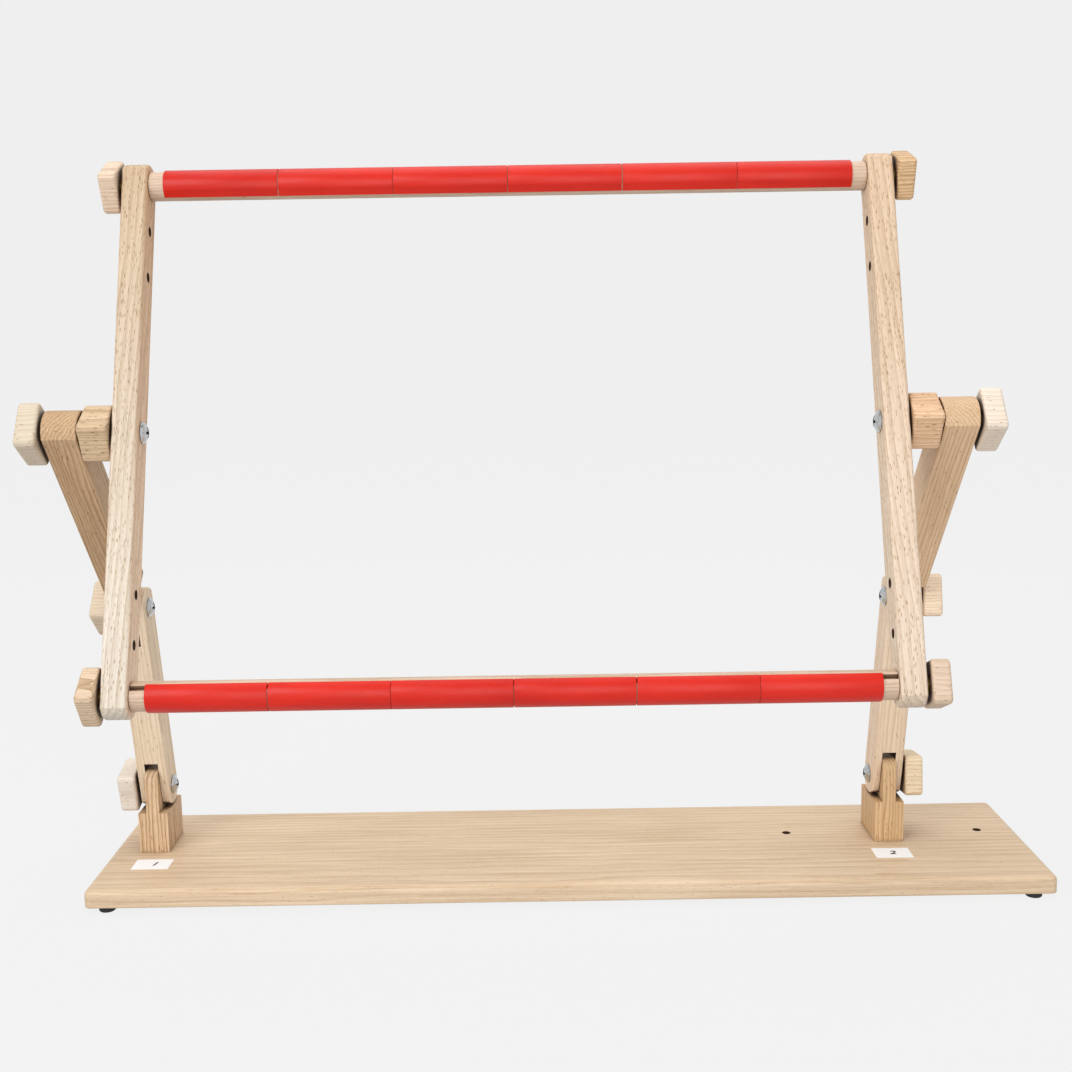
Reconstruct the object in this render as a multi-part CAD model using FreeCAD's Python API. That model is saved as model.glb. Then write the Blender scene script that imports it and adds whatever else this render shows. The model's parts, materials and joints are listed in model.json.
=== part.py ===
"""Table-top roller frame stand for needlework, in beech, with red fabric clips.

Row frame: +Z up, the front faces -Y, origin on the table under the middle of the object.
All sizes are millimetres and angles are degrees.
"""

import FreeCAD
import Part
import math
import os

from FreeCAD import Vector

# Base
BOARD_WIDTH = 940.0
BOARD_DEPTH = 215.0
BOARD_THICKNESS = 18.0
BOARD_FRONT_Y = -12.0
BOARD_CORNER_RADIUS = 6.5
BOARD_TOP_ROUND = 6.0
BOARD_BOTTOM_ROUND = 1.5
FOOT_RADIUS = 8.0
FOOT_HEIGHT = 7.0
FOOT_INSET_X = 19.0
FOOT_INSET_Y = 14.0
LABEL_WIDTH = 37.0
LABEL_DEPTH = 26.0
LABEL_THICKNESS = 0.2
LABEL_TO_PIVOT_Y = 61.0
LABEL_SHIFT_X = {"left": 6.0, "right": -4.0}

# Posts: a block with a tongue that stands up from its middle
FRAME_MID_X = -48.0
POST_SPACING = 756.0
POST_DEPTH = 58.0
POST_BLOCK_HEIGHT = 42.0
PIVOT_ABOVE_BOARD = 64.0
TONGUE_WIDTH = 13.0
TONGUE_ABOVE_PIVOT = 22.5
TONGUE_CORNER_RADIUS = 12.0
SPARE_POST_PITCH = 100.0

# Arms
ARM_WIDTH = 30.0
ARM_DEPTH = 34.0
ARM_END_RADIUS = 20.0
ARM_EDGE_ROUND = 1.2
FORK_GAP = 13.6
FORK_SLOT_DEPTH = 34.5
UPPER_ARM_SHOULDER = 36.0
LOWER_ARM_LENGTH = 205.0
LOWER_ARM_LEAN = 14.7
UPPER_ARM_LENGTH = 250.0
UPPER_ARM_LEAN = 42.4

# Frame
SIDE_BAR_INNER_GAP = 626.0
SIDE_BAR_THICKNESS = 22.0
SIDE_BAR_DEPTH = 32.0
SIDE_BAR_END_RADIUS = 19.0
SIDE_BAR_EDGE_ROUND = 2.6
ROLLER_SPACING = 446.0
FRAME_TILT_BACK = 19.45
SPARE_HOLE_PITCH = 42.0
SPARE_HOLES_PER_END = 2

# Rollers and clips; turn angles run from the front (0) over the top (90)
ROLLER_RADIUS = 12.5
ROLLER_END_CLEARANCE = 0.5
GROOVE_WIDTH = 4.6
GROOVE_DEPTH = 6.0
GROOVE_BEHIND_LIP = 15.0
CLIP_COUNT = 6
CLIP_PITCH = 100.0
CLIP_SEAM = 0.3
CLIP_WALL = 1.3
CLIP_WRAP = 240.0
TOP_ROLLER_LIP = 189.0
BOTTOM_ROLLER_LIP = 62.0

# Knobs and spacer blocks are squares with rounded corners
ARM_KNOB_SIZE = 41.5
ARM_KNOB_THICKNESS = 18.5
ROLLER_KNOB_SIZE = 37.0
ROLLER_KNOB_THICKNESS = 16.0
BLOCK_CORNER_RADIUS = 5.0
BLOCK_EDGE_ROUND = 3.0
SPACER_TO_ARM_GAP = 0.4

# How far one corner of each block is turned up from the front
KNOB_TURNS = {
    "left_base_knob": 30.0,
    "right_base_knob": -38.0,
    "left_elbow_knob": -4.0,
    "right_elbow_knob": -33.0,
    "left_shoulder_knob": -12.0,
    "right_shoulder_knob": -7.0,
    "top_left_roller_knob": 20.0,
    "top_right_roller_knob": 27.5,
    "bottom_left_roller_knob": 11.0,
    "bottom_right_roller_knob": -22.5,
}
SPACER_TURNS = {"left": 16.5, "right": 14.5}

# Fasteners
BOLT_RADIUS = 4.0
BOLT_HEAD_RADIUS = 9.5
BOLT_HEAD_HEIGHT = 4.6
BOLT_HEAD_RIM = 0.9
CROSS_SLOT_WIDTH = 2.2
CROSS_SLOT_LENGTH = 9.0
CROSS_SLOT_DEPTH = 3.0
BOLT_HOLE_RADIUS = 4.3
WASHER_RADIUS = 8.5
WASHER_THICKNESS = 1.6
INSERT_RADIUS = 6.0
INSERT_BORE_RADIUS = 4.08
INSERT_FLANGE_RADIUS = 8.0
INSERT_FLANGE_THICKNESS = 1.2
INSERT_LENGTH = 11.0
INSERT_PLAY = 0.2
BOLT_IN_KNOB = 9.0
STUD_IN_ROLLER = 40.0
SPARE_HOLE_RADIUS = 4.25
COUNTERBORE_RADIUS = 10.0
COUNTERBORE_DEPTH = 6.0
POST_BOLT_HEAD_RADIUS = 8.0
POST_BOLT_HEAD_HEIGHT = 5.0
POST_BOLT_IN_POST = 30.0
FOOT_SCREW_RADIUS = 2.0
FOOT_SCREW_HEAD_RADIUS = 3.6
FOOT_SCREW_HEAD_HEIGHT = 2.4
FOOT_SCREW_LENGTH = 14.0
FOOT_RECESS_RADIUS = 4.4
FOOT_RECESS_DEPTH = 3.6
FOOT_EDGE_ROUND = 1.5

# Places worked out from the driving sizes
BOARD_TOP_Z = FOOT_HEIGHT + BOARD_THICKNESS
BOARD_BACK_Y = BOARD_FRONT_Y + BOARD_DEPTH
PIVOT_Y = BOARD_BACK_Y - 87.5
PIVOT_Z = BOARD_TOP_Z + PIVOT_ABOVE_BOARD
ARM_INNER = (POST_SPACING - ARM_WIDTH) / 2
ARM_OUTER = ARM_INNER + ARM_WIDTH
BAR_INNER = SIDE_BAR_INNER_GAP / 2
BAR_OUTER = BAR_INNER + SIDE_BAR_THICKNESS
KNOB_STAND_OFF = WASHER_THICKNESS + INSERT_PLAY + INSERT_FLANGE_THICKNESS
AXIS_X = Vector(1, 0, 0)
AXIS_Z = Vector(0, 0, 1)
SIDES = {"left": -1, "right": 1}


def along(start, lean, distance):
    """Return the point a distance from start, leaning forward of vertical by lean."""
    angle = math.radians(lean)
    return start + Vector(0, -distance * math.sin(angle), distance * math.cos(angle))


BASE_PIVOT = Vector(0, PIVOT_Y, PIVOT_Z)
ELBOW_PIVOT = along(BASE_PIVOT, LOWER_ARM_LEAN, LOWER_ARM_LENGTH)
SHOULDER_PIVOT = along(ELBOW_PIVOT, UPPER_ARM_LEAN, UPPER_ARM_LENGTH)
TOP_ROLLER_AXIS = along(SHOULDER_PIVOT, -FRAME_TILT_BACK, ROLLER_SPACING / 2)
BOTTOM_ROLLER_AXIS = along(SHOULDER_PIVOT, -FRAME_TILT_BACK, -ROLLER_SPACING / 2)


def side_x(side, distance):
    """Return the row X of a plane at a distance from the middle of the frame."""
    return FRAME_MID_X + SIDES[side] * distance


def on_side(side, distance, pivot):
    """Return the point on a pivot's axis at a distance from the middle of the frame."""
    return Vector(side_x(side, distance), pivot.y, pivot.z)


def outward(side):
    """Return the direction that points away from the middle of the frame."""
    return AXIS_X * SIDES[side]


def rod(radius, start, direction, length):
    """Return a plain cylinder from start along direction."""
    return Part.makeCylinder(radius, length, start, direction)


def slab(side, near, far, y_low, y_high, z_low, z_high):
    """Return a box between two distances from the middle of the frame."""
    x_low = min(side_x(side, near), side_x(side, far))
    corner = Vector(x_low, y_low, z_low)
    return Part.makeBox(far - near, y_high - y_low, z_high - z_low, corner)


def leaning(shape, pivot, lean):
    """Turn a shape made upright at the origin to its lean, and move it to its pivot."""
    placed = shape.copy()
    placed.rotate(Vector(0, 0, 0), AXIS_X, lean)
    placed.translate(Vector(0, pivot.y, pivot.z))
    return placed


def bar_blank(side, inner, thickness, depth, length, end_radius, edge_round):
    """Return an upright bar whose ends are arcs about the pivots at 0 and at length."""
    half = depth / 2
    corner = math.sqrt(end_radius ** 2 - half ** 2)
    x = min(side_x(side, inner), side_x(side, inner + thickness))
    front_low = Vector(x, -half, -corner)
    front_high = Vector(x, -half, length + corner)
    back_high = Vector(x, half, length + corner)
    back_low = Vector(x, half, -corner)
    outline = [
        Part.makeLine(front_low, front_high),
        Part.Arc(front_high, Vector(x, 0, length + end_radius), back_high).toShape(),
        Part.makeLine(back_high, back_low),
        Part.Arc(back_low, Vector(x, 0, -end_radius), front_low).toShape(),
    ]
    solid = Part.Face(Part.Wire(outline)).extrude(AXIS_X * thickness)
    return solid.makeFillet(edge_round, solid.Edges)


def cross_hole(side, near, far, radius, height=0.0):
    """Return a hole cutter along X through an upright bar at a height."""
    start = Vector(side_x(side, near - 1), 0, height)
    return rod(radius, start, outward(side), far - near + 2)


def make_board():
    """Return the board with its post holes, two of them in use and two spare."""
    corner = Vector(-BOARD_WIDTH / 2, BOARD_FRONT_Y, FOOT_HEIGHT)
    board = Part.makeBox(BOARD_WIDTH, BOARD_DEPTH, BOARD_THICKNESS, corner)
    upright = [e for e in board.Edges if abs(e.tangentAt(e.FirstParameter).z) > 0.9]
    board = board.makeFillet(BOARD_CORNER_RADIUS, upright)
    top = [e for e in board.Edges if e.BoundBox.ZMin > BOARD_TOP_Z - 0.1]
    board = board.makeFillet(BOARD_TOP_ROUND, top)
    bottom = [e for e in board.Edges if e.BoundBox.ZMax < FOOT_HEIGHT + 0.1]
    board = board.makeFillet(BOARD_BOTTOM_ROUND, bottom)
    for x in post_hole_places():
        floor = Vector(x, PIVOT_Y, FOOT_HEIGHT - 1)
        board = board.cut(rod(SPARE_HOLE_RADIUS, floor, AXIS_Z, BOARD_THICKNESS + 2))
        board = board.cut(rod(COUNTERBORE_RADIUS, floor, AXIS_Z, COUNTERBORE_DEPTH + 1))
    for x, y in foot_places():
        pilot = Vector(x, y, FOOT_HEIGHT - 1)
        depth = FOOT_SCREW_LENGTH - FOOT_HEIGHT + FOOT_RECESS_DEPTH + 1
        board = board.cut(rod(FOOT_SCREW_RADIUS, pilot, AXIS_Z, depth))
    return board


def post_hole_places():
    """Return the X of each post hole: both posts, then the right post's spare places."""
    right = side_x("right", POST_SPACING / 2)
    left = side_x("left", POST_SPACING / 2)
    return [left, right, right - SPARE_POST_PITCH, right + SPARE_POST_PITCH]


def foot_places():
    """Return the X and Y of the four feet."""
    x = BOARD_WIDTH / 2 - FOOT_INSET_X
    front = BOARD_FRONT_Y + FOOT_INSET_Y
    back = BOARD_BACK_Y - FOOT_INSET_Y
    return [(-x, front), (x, front), (-x, back), (x, back)]


def make_feet():
    """Return the four rubber feet, each recessed underneath for its screw."""
    feet = []
    for x, y in foot_places():
        floor = Vector(x, y, 0)
        foot = rod(FOOT_RADIUS, floor, AXIS_Z, FOOT_HEIGHT)
        rim = [e for e in foot.Edges if e.BoundBox.ZMax < 0.1]
        foot = foot.makeFillet(FOOT_EDGE_ROUND, rim)
        foot = foot.cut(rod(FOOT_RECESS_RADIUS, floor, AXIS_Z, FOOT_RECESS_DEPTH))
        foot = foot.cut(rod(FOOT_SCREW_RADIUS, floor, AXIS_Z, FOOT_HEIGHT))
        feet.append(foot)
    return Part.makeCompound(feet)


def make_base_screws():
    """Return the two post bolts under the board and the four foot screws."""
    screws = []
    for side in SIDES:
        x = side_x(side, POST_SPACING / 2)
        seat = Vector(x, PIVOT_Y, FOOT_HEIGHT + COUNTERBORE_DEPTH)
        reach = BOARD_THICKNESS - COUNTERBORE_DEPTH + POST_BOLT_IN_POST
        head = rod(POST_BOLT_HEAD_RADIUS, seat, -AXIS_Z, POST_BOLT_HEAD_HEIGHT)
        screws.append(head.fuse(rod(BOLT_RADIUS, seat, AXIS_Z, reach)).removeSplitter())
    for x, y in foot_places():
        seat = Vector(x, y, FOOT_RECESS_DEPTH)
        head = rod(FOOT_SCREW_HEAD_RADIUS, seat, -AXIS_Z, FOOT_SCREW_HEAD_HEIGHT)
        shank = rod(FOOT_SCREW_RADIUS, seat, AXIS_Z, FOOT_SCREW_LENGTH - FOOT_HEIGHT + FOOT_RECESS_DEPTH)
        screws.append(head.fuse(shank).removeSplitter())
    return Part.makeCompound(screws)


def make_labels():
    """Return the two paper labels stuck on the board in front of the posts."""
    labels = []
    for side in SIDES:
        x = side_x(side, POST_SPACING / 2) + LABEL_SHIFT_X[side] - LABEL_WIDTH / 2
        y = PIVOT_Y - LABEL_TO_PIVOT_Y - LABEL_DEPTH / 2
        corner = Vector(x, y, BOARD_TOP_Z)
        labels.append(Part.makeBox(LABEL_WIDTH, LABEL_DEPTH, LABEL_THICKNESS, corner))
    return Part.makeCompound(labels)


def make_post(side):
    """Return one post: a block on the board with a tongue for the lower arm's fork."""
    front = PIVOT_Y - POST_DEPTH / 2
    back = PIVOT_Y + POST_DEPTH / 2
    block_top = BOARD_TOP_Z + POST_BLOCK_HEIGHT
    tongue_top = PIVOT_Z + TONGUE_ABOVE_PIVOT
    block = slab(side, ARM_INNER, ARM_OUTER, front, back, BOARD_TOP_Z, tongue_top)
    corners = [e for e in block.Edges if abs(e.tangentAt(0).x) > 0.9 and e.BoundBox.ZMin > block_top]
    post = block.makeFillet(TONGUE_CORNER_RADIUS, corners)
    cheek = (ARM_WIDTH - TONGUE_WIDTH) / 2
    for near in (ARM_INNER - 1, ARM_OUTER - cheek):
        post = post.cut(slab(side, near, near + cheek + 1, front - 1, back + 1, block_top, tongue_top + 1))
    post = post.cut(cross_hole(side, ARM_INNER, ARM_OUTER, BOLT_HOLE_RADIUS).translated(BASE_PIVOT))
    x = side_x(side, POST_SPACING / 2)
    return post.cut(rod(BOLT_RADIUS, Vector(x, PIVOT_Y, BOARD_TOP_Z), AXIS_Z, POST_BOLT_IN_POST))


def fork_slot(side, low, high):
    """Return the cutter for a fork's slot between two heights of an upright arm."""
    cheek = (ARM_WIDTH - FORK_GAP) / 2
    depth = ARM_DEPTH / 2 + 1
    return slab(side, ARM_INNER + cheek, ARM_OUTER - cheek, -depth, depth, low, high)


def make_lower_arm(side):
    """Return a lower arm: a fork over the post at the bottom and a fork at the elbow."""
    arm = bar_blank(side, ARM_INNER, ARM_WIDTH, ARM_DEPTH, LOWER_ARM_LENGTH, ARM_END_RADIUS, ARM_EDGE_ROUND)
    reach = ARM_END_RADIUS + 1
    arm = arm.cut(fork_slot(side, -reach, FORK_SLOT_DEPTH))
    arm = arm.cut(fork_slot(side, LOWER_ARM_LENGTH - FORK_SLOT_DEPTH, LOWER_ARM_LENGTH + reach))
    for height in (0.0, LOWER_ARM_LENGTH):
        arm = arm.cut(cross_hole(side, ARM_INNER, ARM_OUTER, BOLT_RADIUS, height))
    return leaning(arm, BASE_PIVOT, LOWER_ARM_LEAN)


def make_upper_arm(side):
    """Return an upper arm: a shouldered tongue at the elbow and a plain upper end."""
    arm = bar_blank(side, ARM_INNER, ARM_WIDTH, ARM_DEPTH, UPPER_ARM_LENGTH, ARM_END_RADIUS, ARM_EDGE_ROUND)
    cheek = (ARM_WIDTH - TONGUE_WIDTH) / 2
    depth = ARM_DEPTH / 2 + 1
    for near in (ARM_INNER - 1, ARM_OUTER - cheek):
        low = -ARM_END_RADIUS - 1
        arm = arm.cut(slab(side, near, near + cheek + 1, -depth, depth, low, UPPER_ARM_SHOULDER))
    for height in (0.0, UPPER_ARM_LENGTH):
        arm = arm.cut(cross_hole(side, ARM_INNER, ARM_OUTER, BOLT_HOLE_RADIUS, height))
    return leaning(arm, ELBOW_PIVOT, UPPER_ARM_LEAN)


def make_side_bar(side):
    """Return a side bar with its roller holes, spare holes and shoulder bolt hole."""
    bar = bar_blank(
        side, BAR_INNER, SIDE_BAR_THICKNESS, SIDE_BAR_DEPTH,
        ROLLER_SPACING, SIDE_BAR_END_RADIUS, SIDE_BAR_EDGE_ROUND,
    )
    bar = bar.cut(cross_hole(side, BAR_INNER, BAR_OUTER, BOLT_RADIUS, ROLLER_SPACING / 2))
    for height in (0.0, ROLLER_SPACING):
        bar = bar.cut(cross_hole(side, BAR_INNER, BAR_OUTER, BOLT_HOLE_RADIUS, height))
    for number in range(1, SPARE_HOLES_PER_END + 1):
        for height in (number * SPARE_HOLE_PITCH, ROLLER_SPACING - number * SPARE_HOLE_PITCH):
            bar = bar.cut(cross_hole(side, BAR_INNER, BAR_OUTER, SPARE_HOLE_RADIUS, height))
    return leaning(bar, BOTTOM_ROLLER_AXIS, -FRAME_TILT_BACK)


def rounded_block(side, near, thickness, size, pivot, turn):
    """Return a square block with rounded corners, one corner turned up from the front."""
    half = size / 2
    block = slab(side, near, near + thickness, -half, half, -half, half)
    lengthwise = [e for e in block.Edges if abs(e.tangentAt(e.FirstParameter).x) > 0.9]
    block = block.makeFillet(BLOCK_CORNER_RADIUS, lengthwise)
    rims = [e for e in block.Edges if e.BoundBox.XLength < 0.01]
    block = block.makeFillet(BLOCK_EDGE_ROUND, rims)
    return leaning(block, pivot, 45.0 - turn)


def make_knob(side, face, thickness, size, pivot, turn):
    """Return a knob bored from its inner side for its threaded insert."""
    near = face + KNOB_STAND_OFF
    knob = rounded_block(side, near, thickness, size, pivot, turn)
    start = on_side(side, near - 1, pivot)
    return knob.cut(rod(INSERT_RADIUS, start, outward(side), INSERT_LENGTH + 1))


def make_insert(side, face, pivot):
    """Return a knob's threaded insert, with its flange outside the knob."""
    start = on_side(side, face + KNOB_STAND_OFF, pivot)
    barrel = rod(INSERT_RADIUS, start, outward(side), INSERT_LENGTH)
    flange_start = on_side(side, face + WASHER_THICKNESS + INSERT_PLAY, pivot)
    flange = rod(INSERT_FLANGE_RADIUS, flange_start, outward(side), INSERT_FLANGE_THICKNESS)
    bore = rod(INSERT_BORE_RADIUS, flange_start, outward(side), INSERT_LENGTH + INSERT_FLANGE_THICKNESS)
    return barrel.fuse(flange).removeSplitter().cut(bore)


def make_spacer(side):
    """Return the block that keeps a side bar clear of its upper arm."""
    near = BAR_OUTER + WASHER_THICKNESS
    thickness = ARM_INNER - SPACER_TO_ARM_GAP - near
    block = rounded_block(side, near, thickness, ROLLER_KNOB_SIZE, SHOULDER_PIVOT, SPACER_TURNS[side])
    start = on_side(side, near - 1, SHOULDER_PIVOT)
    return block.cut(rod(BOLT_RADIUS, start, outward(side), thickness + 2))


def make_bolt(side, seat, far, pivot):
    """Return a truss-head bolt whose cross-slotted head sits on the inner face."""
    rim_radius = BOLT_HEAD_RADIUS
    sphere_radius = (rim_radius ** 2 + BOLT_HEAD_HEIGHT ** 2) / (2 * BOLT_HEAD_HEIGHT)
    center = Vector(BOLT_HEAD_RIM + BOLT_HEAD_HEIGHT - sphere_radius, 0, 0)
    dome = Part.makeSphere(sphere_radius, center)
    head = dome.common(rod(rim_radius, Vector(0, 0, 0), AXIS_X, 2 * sphere_radius))
    top = BOLT_HEAD_RIM + BOLT_HEAD_HEIGHT
    half_slot = CROSS_SLOT_LENGTH / 2
    for turn in (0.0, 90.0):
        corner = Vector(top - CROSS_SLOT_DEPTH, -half_slot, -CROSS_SLOT_WIDTH / 2)
        slot = Part.makeBox(CROSS_SLOT_DEPTH + 1, CROSS_SLOT_LENGTH, CROSS_SLOT_WIDTH, corner)
        slot.rotate(Vector(0, 0, 0), AXIS_X, turn)
        head = head.cut(slot)
    bolt = head.fuse(rod(BOLT_RADIUS, Vector(0, 0, 0), -AXIS_X, far - seat)).removeSplitter()
    if side == "right":
        bolt.rotate(Vector(0, 0, 0), AXIS_Z, 180)
    bolt.translate(on_side(side, seat, pivot))
    return bolt


def make_washer(side, face, pivot):
    """Return a flat washer that lies on a face."""
    start = on_side(side, face, pivot)
    disc = rod(WASHER_RADIUS, start, outward(side), WASHER_THICKNESS)
    return disc.cut(rod(BOLT_HOLE_RADIUS, start, outward(side), WASHER_THICKNESS))


def make_frame_washers():
    """Return the washers of the frame: under the roller knobs and at the shoulders."""
    washers = []
    for side in SIDES:
        for pivot in (TOP_ROLLER_AXIS, BOTTOM_ROLLER_AXIS, SHOULDER_PIVOT):
            washers.append(make_washer(side, BAR_OUTER, pivot))
        washers.append(make_washer(side, ARM_OUTER, SHOULDER_PIVOT))
    return Part.makeCompound(washers)


def at_turn(radius, turn):
    """Return the Y and Z of a point on a circle, turned up from the front."""
    angle = math.radians(turn)
    return Vector(0, -radius * math.cos(angle), radius * math.sin(angle))


def make_roller(axis, lip):
    """Return a roller with its lengthwise groove and the holes for its studs."""
    half = BAR_INNER - ROLLER_END_CLEARANCE
    start = Vector(FRAME_MID_X - half, axis.y, axis.z)
    roller = rod(ROLLER_RADIUS, start, AXIS_X, 2 * half)
    corner = Vector(FRAME_MID_X - half, -ROLLER_RADIUS - 1, -GROOVE_WIDTH / 2)
    groove = Part.makeBox(2 * half, GROOVE_DEPTH + 1, GROOVE_WIDTH, corner)
    groove = leaning(groove, axis, GROOVE_BEHIND_LIP - lip)
    roller = roller.cut(groove)
    for side in SIDES:
        end = on_side(side, half, axis)
        roller = roller.cut(rod(BOLT_RADIUS, end, -outward(side), STUD_IN_ROLLER))
    return roller


def make_studs(axis):
    """Return the two headless studs of one roller, from inside it to inside its knobs."""
    studs = []
    half = BAR_INNER - ROLLER_END_CLEARANCE
    for side in SIDES:
        start = on_side(side, half - STUD_IN_ROLLER, axis)
        tip = BAR_OUTER + KNOB_STAND_OFF + BOLT_IN_KNOB
        studs.append(rod(BOLT_RADIUS, start, outward(side), tip - half + STUD_IN_ROLLER))
    return Part.makeCompound(studs)


def make_clip(axis, lip, number):
    """Return one C-shaped fabric clip, wrapped around the roller from its lip."""
    inner = ROLLER_RADIUS
    outer = ROLLER_RADIUS + CLIP_WALL
    middle = lip - CLIP_WRAP / 2
    end = lip - CLIP_WRAP
    x = FRAME_MID_X + (number - CLIP_COUNT / 2) * CLIP_PITCH + CLIP_SEAM / 2
    place = Vector(x, axis.y, axis.z)
    outline = [
        Part.Arc(place + at_turn(outer, lip), place + at_turn(outer, middle), place + at_turn(outer, end)).toShape(),
        Part.makeLine(place + at_turn(outer, end), place + at_turn(inner, end)),
        Part.Arc(place + at_turn(inner, end), place + at_turn(inner, middle), place + at_turn(inner, lip)).toShape(),
        Part.makeLine(place + at_turn(inner, lip), place + at_turn(outer, lip)),
    ]
    return Part.Face(Part.Wire(outline)).extrude(AXIS_X * (CLIP_PITCH - CLIP_SEAM))


def make_arm_parts(side):
    """Return the parts of one side's post, arms, bolts and washers."""
    knob_tip = ARM_OUTER + KNOB_STAND_OFF + BOLT_IN_KNOB
    washers = [make_washer(side, ARM_OUTER, pivot) for pivot in (BASE_PIVOT, ELBOW_PIVOT)]
    return {
        f"{side}_post": make_post(side),
        f"{side}_lower_arm": make_lower_arm(side),
        f"{side}_base_bolt": make_bolt(side, ARM_INNER, knob_tip, BASE_PIVOT),
        f"{side}_elbow_bolt": make_bolt(side, ARM_INNER, knob_tip, ELBOW_PIVOT),
        f"{side}_arm_washers": Part.makeCompound(washers),
        f"{side}_upper_arm": make_upper_arm(side),
        f"{side}_side_bar": make_side_bar(side),
        f"{side}_spacer_block": make_spacer(side),
        f"{side}_shoulder_bolt": make_bolt(side, BAR_INNER, knob_tip, SHOULDER_PIVOT),
    }


def make_knob_parts():
    """Return every knob and the threaded insert inside it."""
    parts = {}
    arm_pivots = {"base": BASE_PIVOT, "elbow": ELBOW_PIVOT, "shoulder": SHOULDER_PIVOT}
    roller_axes = {"top": TOP_ROLLER_AXIS, "bottom": BOTTOM_ROLLER_AXIS}
    for side in SIDES:
        for joint, pivot in arm_pivots.items():
            name = f"{side}_{joint}_knob"
            turn = KNOB_TURNS[name]
            parts[name] = make_knob(side, ARM_OUTER, ARM_KNOB_THICKNESS, ARM_KNOB_SIZE, pivot, turn)
            parts[f"{name}_insert"] = make_insert(side, ARM_OUTER, pivot)
        for level, axis in roller_axes.items():
            name = f"{level}_{side}_roller_knob"
            turn = KNOB_TURNS[name]
            parts[name] = make_knob(side, BAR_OUTER, ROLLER_KNOB_THICKNESS, ROLLER_KNOB_SIZE, axis, turn)
            parts[f"{name}_insert"] = make_insert(side, BAR_OUTER, axis)
    return parts


def make_roller_parts(level, axis, lip):
    """Return one roller with its studs and its row of clips."""
    parts = {f"{level}_roller": make_roller(axis, lip), f"{level}_roller_studs": make_studs(axis)}
    for number in range(CLIP_COUNT):
        parts[f"{level}_clip_{number + 1}"] = make_clip(axis, lip, number)
    return parts


def make_parts():
    """Return every sub-part of the stand by name."""
    parts = {
        "base_board": make_board(),
        "rubber_feet": make_feet(),
        "base_screws": make_base_screws(),
        "position_labels": make_labels(),
        "frame_washers": make_frame_washers(),
    }
    for side in SIDES:
        parts.update(make_arm_parts(side))
    parts.update(make_roller_parts("top", TOP_ROLLER_AXIS, TOP_ROLLER_LIP))
    parts.update(make_roller_parts("bottom", BOTTOM_ROLLER_AXIS, BOTTOM_ROLLER_LIP))
    parts.update(make_knob_parts())
    return parts


os.makedirs("parts", exist_ok=True)
for part_name, part_shape in make_parts().items():
    part_shape.exportStep(f"parts/{part_name}.step")
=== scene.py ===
"""Looks, light and camera for a beech tabletop needlework stand with two clip rollers."""

import json
import logging
import math
from collections.abc import Sequence
from dataclasses import dataclass
from enum import Enum

import bpy
from mathutils import Matrix, Vector


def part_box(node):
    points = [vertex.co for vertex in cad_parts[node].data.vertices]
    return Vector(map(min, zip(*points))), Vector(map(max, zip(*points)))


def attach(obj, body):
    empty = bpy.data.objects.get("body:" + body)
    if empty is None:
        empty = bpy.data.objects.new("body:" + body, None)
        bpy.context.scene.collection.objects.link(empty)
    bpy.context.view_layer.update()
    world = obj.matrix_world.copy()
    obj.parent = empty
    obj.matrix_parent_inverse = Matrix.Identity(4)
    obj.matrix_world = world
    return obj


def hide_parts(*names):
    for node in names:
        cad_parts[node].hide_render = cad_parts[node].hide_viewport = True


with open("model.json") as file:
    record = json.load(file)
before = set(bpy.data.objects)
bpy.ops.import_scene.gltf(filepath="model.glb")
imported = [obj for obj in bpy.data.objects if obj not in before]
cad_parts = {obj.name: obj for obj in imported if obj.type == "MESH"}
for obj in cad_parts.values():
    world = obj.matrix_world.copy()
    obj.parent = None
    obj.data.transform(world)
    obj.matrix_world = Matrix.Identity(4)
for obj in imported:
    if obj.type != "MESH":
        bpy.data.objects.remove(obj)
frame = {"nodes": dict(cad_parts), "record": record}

LOG = logging.getLogger("stand")

Colour = tuple[float, float, float, float]
Triple = tuple[float, float, float]
Socket = bpy.types.NodeSocket
Tree = bpy.types.ShaderNodeTree
Inputs = dict[str | int, object]

MM = 0.001
MM_PER_METRE: Triple = (1000.0, 1000.0, 1000.0)
SHARP_ANGLE = 32  # degrees
CLEAR: Triple = (1.0, 1.0, 1.0)

# A mix node's sockets share their names, so they are told apart by number.
A_VECTOR, B_VECTOR, VECTOR_RESULT = 4, 5, 1
A_COLOUR, B_COLOUR, COLOUR_RESULT = 6, 7, 2


# ---------------------------------------------------------------- helpers


def linear(colour: str) -> Colour:
    """Turns an sRGB hex colour into linear light.

    Args:
        colour: Six hex digits after a hash.

    Returns:
        Linear red, green and blue, with an alpha of one.
    """
    parts = [int(colour[i : i + 2], 16) / 255 for i in (1, 3, 5)]
    bent = [c / 12.92 if c <= 0.04045 else ((c + 0.055) / 1.055) ** 2.4 for c in parts]
    return (bent[0], bent[1], bent[2], 1.0)


def add_node(tree: Tree, kind: str, inputs: Inputs, out: int | str = 0, **settings: object) -> Socket:
    """Adds one node with its settings, its fixed inputs and the links that feed it.

    Args:
        tree: The material's node tree.
        kind: The node's type name.
        inputs: Values or output sockets, by input name or number.
        out: The wanted output, by name or number.
        settings: Node properties by name.

    Returns:
        The wanted output of the new node.
    """
    node = tree.nodes.new(kind)
    for name, value in settings.items():
        setattr(node, name, value)
    for key, value in inputs.items():
        if isinstance(value, bpy.types.NodeSocket):
            tree.links.new(value, node.inputs[key])
        else:
            node.inputs[key].default_value = value
    return node.outputs[out]


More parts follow.
